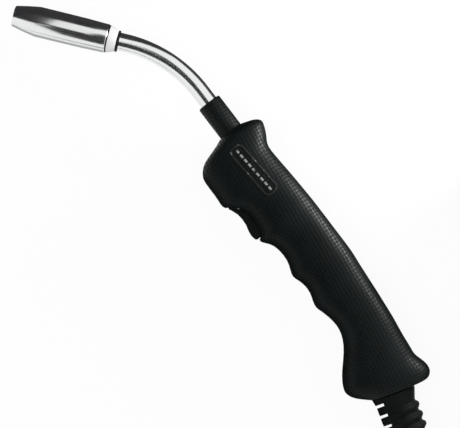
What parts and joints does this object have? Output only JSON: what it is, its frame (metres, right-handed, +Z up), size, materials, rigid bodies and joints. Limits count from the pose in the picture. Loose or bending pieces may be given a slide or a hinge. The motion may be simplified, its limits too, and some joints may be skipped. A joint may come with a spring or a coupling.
{
  "type": "mig welding torch",
  "caption": "MIG welding torch with a plated swan neck and gas nozzle, a trigger in a black grooved handle, and a coiled cable that ends in a central connector.",
  "frame": {"origin": "bottom centre of the torch's box as it lies on its side, without the free cable and its connector", "axes": "+X from the nozzle to the rear of the handle, +Y to the handle's back, +Z up and across the handle"},
  "size_m": [0.5561, 0.2105, 0.042],
  "materials": {
    "handle": "fine textured black plastic",
    "sleeve": "satin black sleeve",
    "boot": "matt black rubber",
    "cable": "matt black rubber sheath",
    "trigger": "smooth black plastic",
    "plated": "polished plate",
    "steel": "drawn steel wire and turned steel",
    "brass": "machined brass",
    "copper": "drawn copper",
    "white_insulator": "white heat-resistant plastic",
    "ring": "black sealing ring",
    "switch": "moulded switch housing",
    "plunger": "red switch button",
    "wire": "wire insulation",
    "insulation": "heat-resistant insulating tube",
    "tie": "hook and loop strap",
    "connector": "satin black plastic"
  },
  "bodies": {
    "torch": {"handle_shell_left": "handle", "handle_shell_right": "handle", "handle_screws": "steel", "neck_sleeve": "sleeve", "neck_tube": "plated", "neck_insulation": "insulation", "neck_conductor": "copper", "wire_liner": "steel", "neck_ring": "ring", "nozzle_insulator": "white_insulator", "nozzle_spring": "steel", "contact_tip": "copper", "tip_adapter": "brass", "gas_diffuser": "white_insulator", "power_block": "brass", "neck_lock_nut": "brass", "cable_nipple": "brass", "crimp_ferrule": "brass", "trigger_pin": "steel", "trigger_spring": "steel", "switch_case": "switch", "switch_terminals": "brass", "switch_leads": "wire", "cable_clamp": "steel", "handle_cable": "cable", "cable_boot": "boot", "cable_run": "cable", "cable_coil": "cable", "cable_tail": "cable", "coil_ties": "tie", "connector_boot": "boot", "connector_shell_left": "connector", "connector_shell_right": "connector", "connector_screws": "steel", "plug_body": "brass", "gas_nipple": "brass", "gas_o_ring": "ring", "liner_nut": "brass", "control_spring_1": "steel", "control_spring_2": "steel", "control_sockets": "insulation"},
    "trigger": {"trigger": "trigger"},
    "switch_plunger": {"switch_plunger": "plunger"},
    "gas_nozzle": {"gas_nozzle": "plated"},
    "coupling_nut": {"coupling_nut": "connector"},
    "control_pin_1": {"control_pin_1": "brass"},
    "control_pin_2": {"control_pin_2": "brass"}
  },
  "joints": [
    {"name": "trigger_press", "type": "hinge", "parent": "torch", "child": "trigger", "pos_m": [-0.01259, 0.00013, 0.0165], "axis": [0, 0, 1], "range_deg": [0, 6], "stiffness_Nm_per_rad": 0.3, "springref_deg": -6.88, "deforming": ["trigger_spring"]},
    {"name": "plunger_slide", "type": "slide", "parent": "torch", "child": "switch_plunger", "axis": [0, 1, 0], "range_m": [0, 0.0016]},
    {"name": "nozzle_pull", "type": "slide", "parent": "torch", "child": "gas_nozzle", "axis": [-0.7771, -0.6293, 0], "range_m": [0, 0.055]},
    {"name": "nut_turn", "type": "hinge", "parent": "torch", "child": "coupling_nut", "pos_m": [0.07482, 0.14695, 0.021], "axis": [-1, 0, 0], "continuous": true},
    {"name": "control_pin_1_press", "type": "slide", "parent": "torch", "child": "control_pin_1", "axis": [1, 0, 0], "range_m": [0, 0.002], "stiffness_N_per_m": 300, "springref_m": -0.002, "deforming": ["control_spring_1"]},
    {"name": "control_pin_2_press", "type": "slide", "parent": "torch", "child": "control_pin_2", "axis": [1, 0, 0], "range_m": [0, 0.002], "stiffness_N_per_m": 300, "springref_m": -0.002, "deforming": ["control_spring_2"]}
  ],
  "couplings": [
    {"joint": "plunger_slide", "follows": "trigger_press", "m_per_rad": 0.013}
  ]
}
